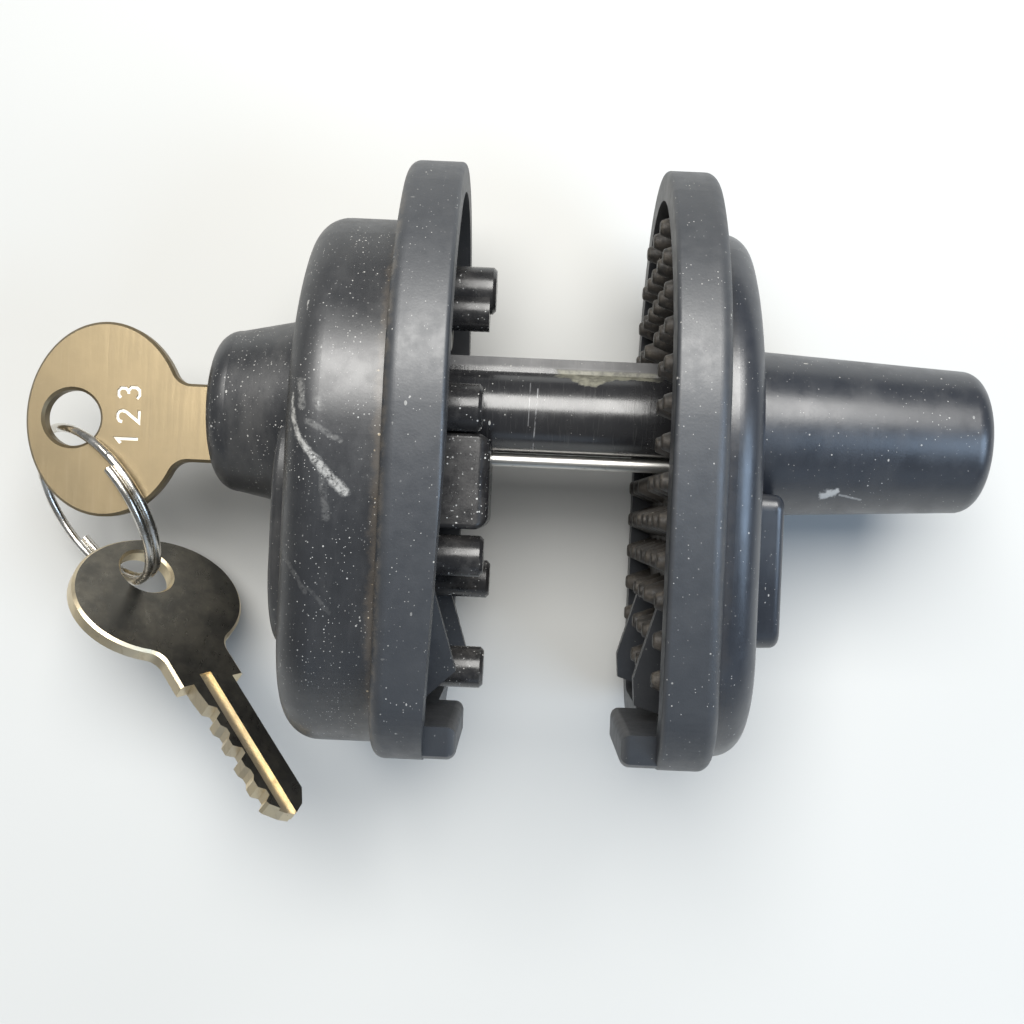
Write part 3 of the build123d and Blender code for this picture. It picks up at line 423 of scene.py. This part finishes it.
wear("keyed_casing", mat=casing_material("casing_black_keyed", True))
wear("socket_casing", mat=casing_material("casing_black_socket", False))
wear("keyed_pad", mat=rubber_material("pad_rubber_keyed", True))
wear("socket_pad", mat=rubber_material("pad_rubber_socket", False))
wear("stud_mat", mat=stud_material())
wear("guard_pegs", mat=peg_material("peg_black", 0.6, 0.62))
wear("post_support_block", mat=peg_material("block_black_dusty", 1.0, 0.3))
wear("keyed_face_plate", "socket_face_plate", mat=peg_material("plate_black", 0.8))
wear("locking_post", "post_tip_cap", mat=post_material())
wear("guide_rod", mat=steel_material("rod_satin_steel"))
wear("release_shaft", mat=steel_material("shaft_steel", rough=0.26))
wear("latch_pawl", "ratchet_rack", mat=steel_material("hardened_steel", (0.42, 0.42, 0.43), 0.34))
wear("keyed_plate_screws", "socket_plate_screws", "cylinder_screws",
     mat=steel_material("screw_zinc", (0.50, 0.50, 0.48), 0.34, (500, 500, 500)))
wear("plug_retaining_clip", mat=steel_material("spring_steel", (0.30, 0.30, 0.33), 0.32, (400, 400, 400)))
wear("cylinder_shell", mat=steel_material("die_cast_zinc", (0.50, 0.50, 0.51), 0.42, (400, 400, 400)))
wear("plug", "wafers", mat=brass_material("plug_machined_brass"))
wear("key", mat=key_material("key_warm_nickel", False))
wear("spare_key", mat=key_material("spare_key_warm_nickel", True))
wear("key_ring", mat=ring_material())

# ------------------------------------------------------------------ floor
floor_mesh = bpy.data.meshes.new("floor")
half = 3.0
z0 = CAD_LO.z - 0.00005
floor_mesh.from_pydata([(-half, -half, z0), (half, -half, z0), (half, half, z0), (-half, half, z0)], [], [(0, 1, 2, 3)])
floor = bpy.data.objects.new("floor", floor_mesh)
scene.collection.objects.link(floor)
f = Shade("floor_pale")
tone = f.mix((0.530, 0.533, 0.520), (0.495, 0.499, 0.487), f.range(f.noise(9, 2, 0.5), 0.35, 0.65))
floor_mesh.materials.append(f.done(tone, 0.6, 0.0, Specular_IOR_Level=0.2))


# ------------------------------------------------------------------ light
def softbox(name, where, aim, size, radiance, color=(1, 1, 1)):
    data = bpy.data.lights.new(name, "AREA")
    data.shape = "RECTANGLE"
    data.size, data.size_y = size
    data.energy = radiance * math.pi * size[0] * size[1]
    data.color = color
    ob = bpy.data.objects.new(name, data)
    scene.collection.objects.link(ob)
    where = Vector(where)
    ob.location = where
    ob.rotation_euler = (Vector(aim) - where).to_track_quat("-Z", "Y").to_euler()
    ob.visible_camera = False
    return ob


softbox("key_light", (0.0075, 0.225, 0.545), (0.0075, -0.006, 0.0), (0.50, 0.40), 11.4, (1.0, 0.985, 0.955))
softbox("side_light", (0.44, -0.20, 0.40), (0.0, 0.0, 0.0), (0.30, 0.30), 6.2, (0.55, 0.74, 1.0))
softbox("fill_light", (0.10, -0.66, 0.16), (0.0, 0.0, 0.0), (0.60, 0.22), 0.5, (0.62, 0.78, 1.0))

world = bpy.data.worlds.new("studio")
world.use_nodes = True
world.node_tree.nodes["Background"].inputs[0].default_value = (0.90, 0.95, 1.0, 1)
world.node_tree.nodes["Background"].inputs[1].default_value = 0.19
scene.world = world
scene.view_settings.view_transform = "Standard"
scene.view_settings.look = "None"

# ------------------------------------------------------------------ camera
cam_data = bpy.data.cameras.new("camera")
cam_data.sensor_width = 36.0
cam_data.lens = 1167.0 / 1024.0 * 36.0
cam_data.shift_x = -12.0 / 1024.0
cam_data.clip_start = 0.01
cam = bpy.data.objects.new("camera", cam_data)
scene.collection.objects.link(cam)
cam.location = (7.46 * MM, -9.47 * MM, 125.5 * MM)
cam.rotation_euler = (0.0, 0.0, math.radians(2.5))
scene.camera = cam
